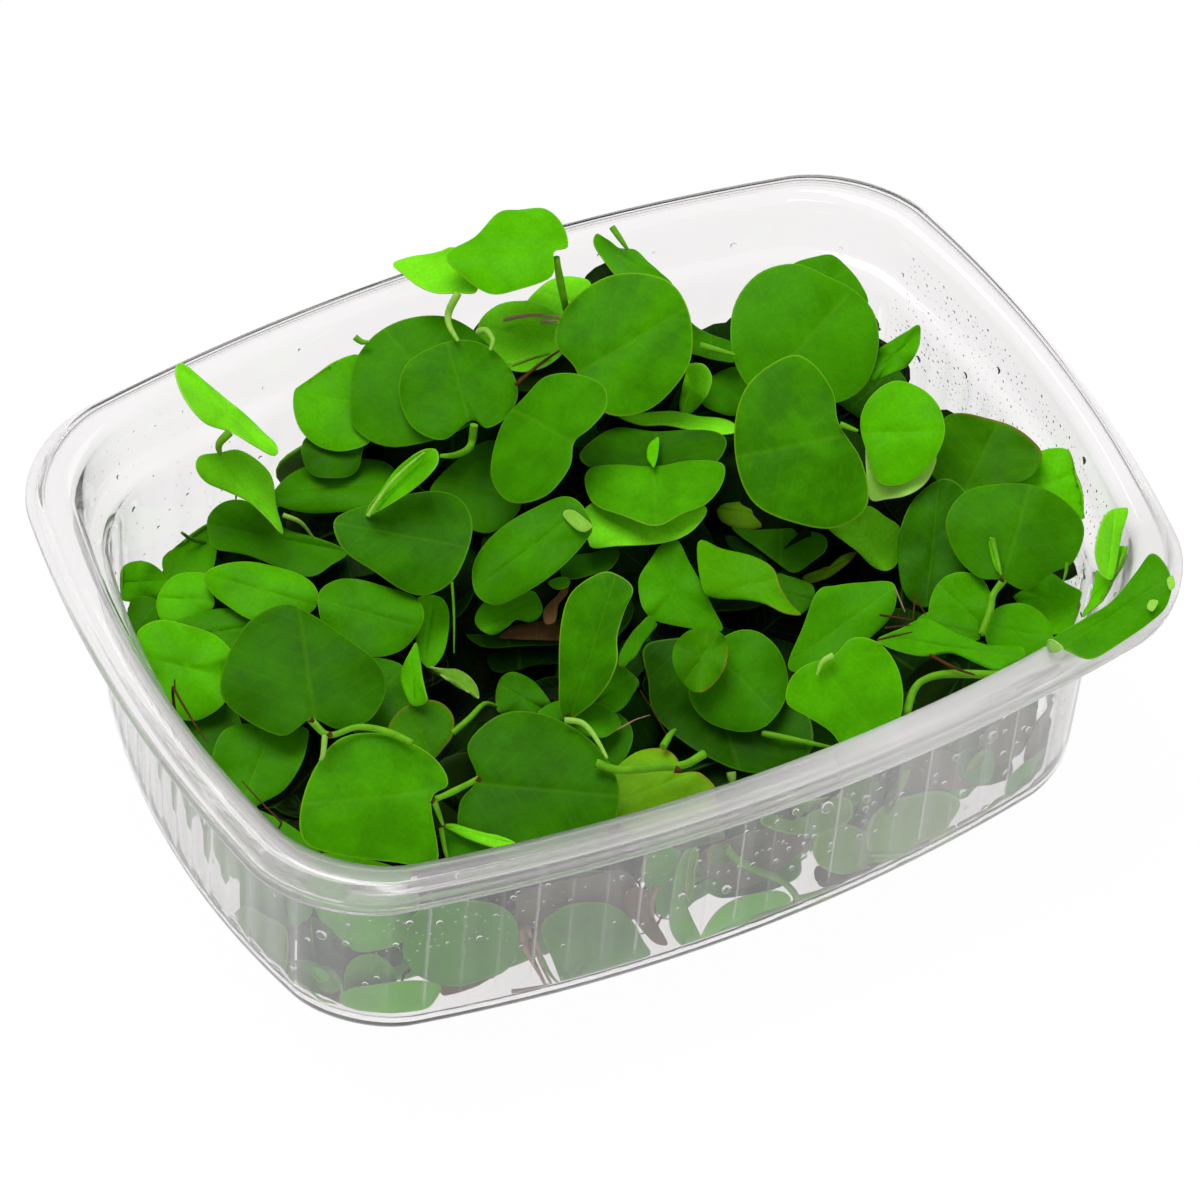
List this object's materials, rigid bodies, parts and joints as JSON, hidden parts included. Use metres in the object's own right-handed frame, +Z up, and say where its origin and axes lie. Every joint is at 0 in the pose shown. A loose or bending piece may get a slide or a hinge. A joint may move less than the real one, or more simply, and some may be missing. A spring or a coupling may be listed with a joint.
{
  "type": "tub of floating plants",
  "caption": "Clear rectangular plastic tub with a stepped rim, heaped with round-leaved floating aquarium plants on short green stems.",
  "frame": {"origin": "centre of the tub's underside, on the surface that it stands on", "axes": "+X along the tub's long side, +Y along its short side towards its back wall, +Z up out of the tub"},
  "size_m": [0.108, 0.0802, 0.0385],
  "materials": {
    "clear_plastic": "thin clear plastic, slightly hazy, with droplets of water on its walls",
    "buried_plants": "wet dark leaves, stems and roots packed together",
    "stem_green": "smooth pale green stem",
    "leaf_bright": "waxy bright green leaf",
    "leaf_dark": "waxy dark green leaf",
    "leaf_mid": "waxy leaf green",
    "leaf_olive": "olive leaf tinged with red",
    "leaf_pale": "pale underside of a leaf"
  },
  "bodies": {
    "root": {"tub": "clear_plastic", "plant_bed": "buried_plants", "leaf_top_back": "leaf_mid", "leaf_back_point": "leaf_mid", "leaf_left_dark": "leaf_dark", "leaf_glossy": "leaf_dark", "leaf_back_left": "leaf_bright", "leaf_far_left": "leaf_mid", "leaf_oval_left": "leaf_bright", "leaf_middle_left": "leaf_mid", "leaf_heart": "leaf_mid", "leaf_back_dark": "leaf_dark", "leaf_kidney_left": "leaf_mid", "leaf_rolled": "leaf_bright", "leaf_pointed": "leaf_bright", "leaf_standing_left": "leaf_bright", "leaf_tall_left": "leaf_bright", "stem_top": "stem_green", "leaf_top": "leaf_bright", "leaf_under_half": "leaf_dark", "leaf_round_back": "leaf_bright", "leaf_bean": "leaf_mid", "leaf_under_middle": "leaf_dark", "leaf_round_middle": "leaf_mid", "leaf_folded_left": "leaf_mid", "leaf_red_edge": "leaf_olive", "leaf_folded_right": "leaf_bright", "leaf_half_lower": "leaf_mid", "leaf_half_moon": "leaf_bright", "leaf_oval_middle": "leaf_mid", "leaf_round_far": "leaf_mid", "leaf_slant": "leaf_mid", "leaf_right_back": "leaf_bright", "leaf_right_curled": "leaf_dark", "leaf_right_tall": "leaf_mid", "leaf_right_small": "leaf_bright", "leaf_right_big": "leaf_dark", "leaf_pale_under": "leaf_pale", "leaf_round_bright": "leaf_bright", "leaf_big_middle": "leaf_bright", "leaf_standing_right": "leaf_bright", "leaf_right_front": "leaf_mid", "stem_right": "stem_green", "leaf_wavy": "leaf_mid", "stem_bent": "stem_green", "leaf_kidney_right": "leaf_bright", "leaf_olive_front": "leaf_olive", "leaf_front_big": "leaf_dark", "stem_front": "stem_green", "stem_thick": "stem_green", "leaf_tall_middle": "leaf_bright", "leaf_red_round": "leaf_olive", "leaf_left_bright": "leaf_bright", "leaf_front_left": "leaf_dark", "leaf_big_left": "leaf_dark", "leaf_corner_hanging": "leaf_bright", "leaf_front_bright": "leaf_bright", "stem_fork": "stem_green", "stem_link": "stem_green", "leaf_over_rim": "leaf_mid"}
  },
  "joints": []
}
